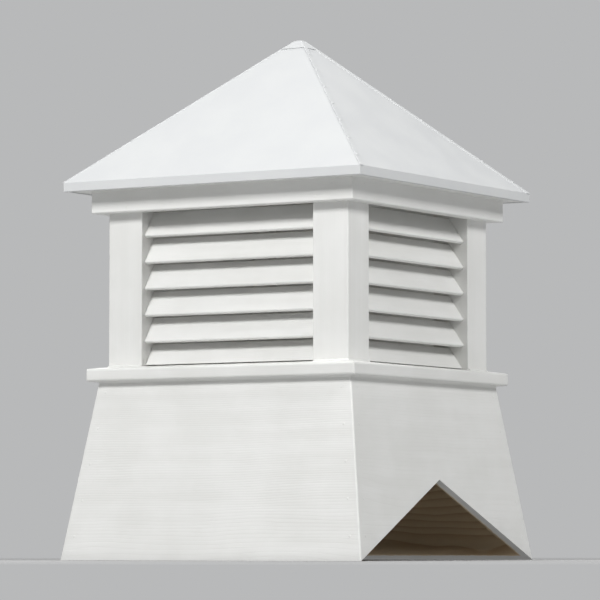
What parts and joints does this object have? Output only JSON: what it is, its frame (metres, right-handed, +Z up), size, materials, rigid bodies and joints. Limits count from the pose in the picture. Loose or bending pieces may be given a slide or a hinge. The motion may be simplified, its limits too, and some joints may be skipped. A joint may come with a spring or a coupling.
{
  "type": "louvred roof cupola",
  "caption": "Square louvred cupola with a flared saddle base, a sill, corner posts and a hipped metal roof.",
  "frame": {"origin": "middle of the base, at the level of its lowest edges", "axes": "+Z up, X along the ridge that the base straddles, -Y to the front"},
  "size_m": [0.6596, 0.66, 1.0021],
  "materials": {
    "painted_timber": "satin white paint",
    "bare_timber": "bare, sawn",
    "roof_metal": "white powder coat"
  },
  "bodies": {
    "root": {"base_front": "painted_timber", "base_right": "painted_timber", "base_back": "painted_timber", "base_left": "painted_timber", "base_corner_blocks": "bare_timber", "sill_front": "painted_timber", "sill_right": "painted_timber", "sill_back": "painted_timber", "sill_left": "painted_timber", "corner_post_front_right": "painted_timber", "corner_post_back_right": "painted_timber", "corner_post_back_left": "painted_timber", "corner_post_front_left": "painted_timber", "louvre_front_1": "painted_timber", "louvre_front_2": "painted_timber", "louvre_front_3": "painted_timber", "louvre_front_4": "painted_timber", "louvre_front_5": "painted_timber", "louvre_front_6": "painted_timber", "louvre_right_1": "painted_timber", "louvre_right_2": "painted_timber", "louvre_right_3": "painted_timber", "louvre_right_4": "painted_timber", "louvre_right_5": "painted_timber", "louvre_right_6": "painted_timber", "louvre_back_1": "painted_timber", "louvre_back_2": "painted_timber", "louvre_back_3": "painted_timber", "louvre_back_4": "painted_timber", "louvre_back_5": "painted_timber", "louvre_back_6": "painted_timber", "louvre_left_1": "painted_timber", "louvre_left_2": "painted_timber", "louvre_left_3": "painted_timber", "louvre_left_4": "painted_timber", "louvre_left_5": "painted_timber", "louvre_left_6": "painted_timber", "frieze_front": "painted_timber", "frieze_right": "painted_timber", "frieze_back": "painted_timber", "frieze_left": "painted_timber", "eave_boards": "painted_timber", "roof_deck": "bare_timber", "roof_pan_front": "roof_metal", "roof_pan_right": "roof_metal", "roof_pan_back": "roof_metal", "roof_pan_left": "roof_metal", "roof_cap": "roof_metal"}
  },
  "joints": []
}
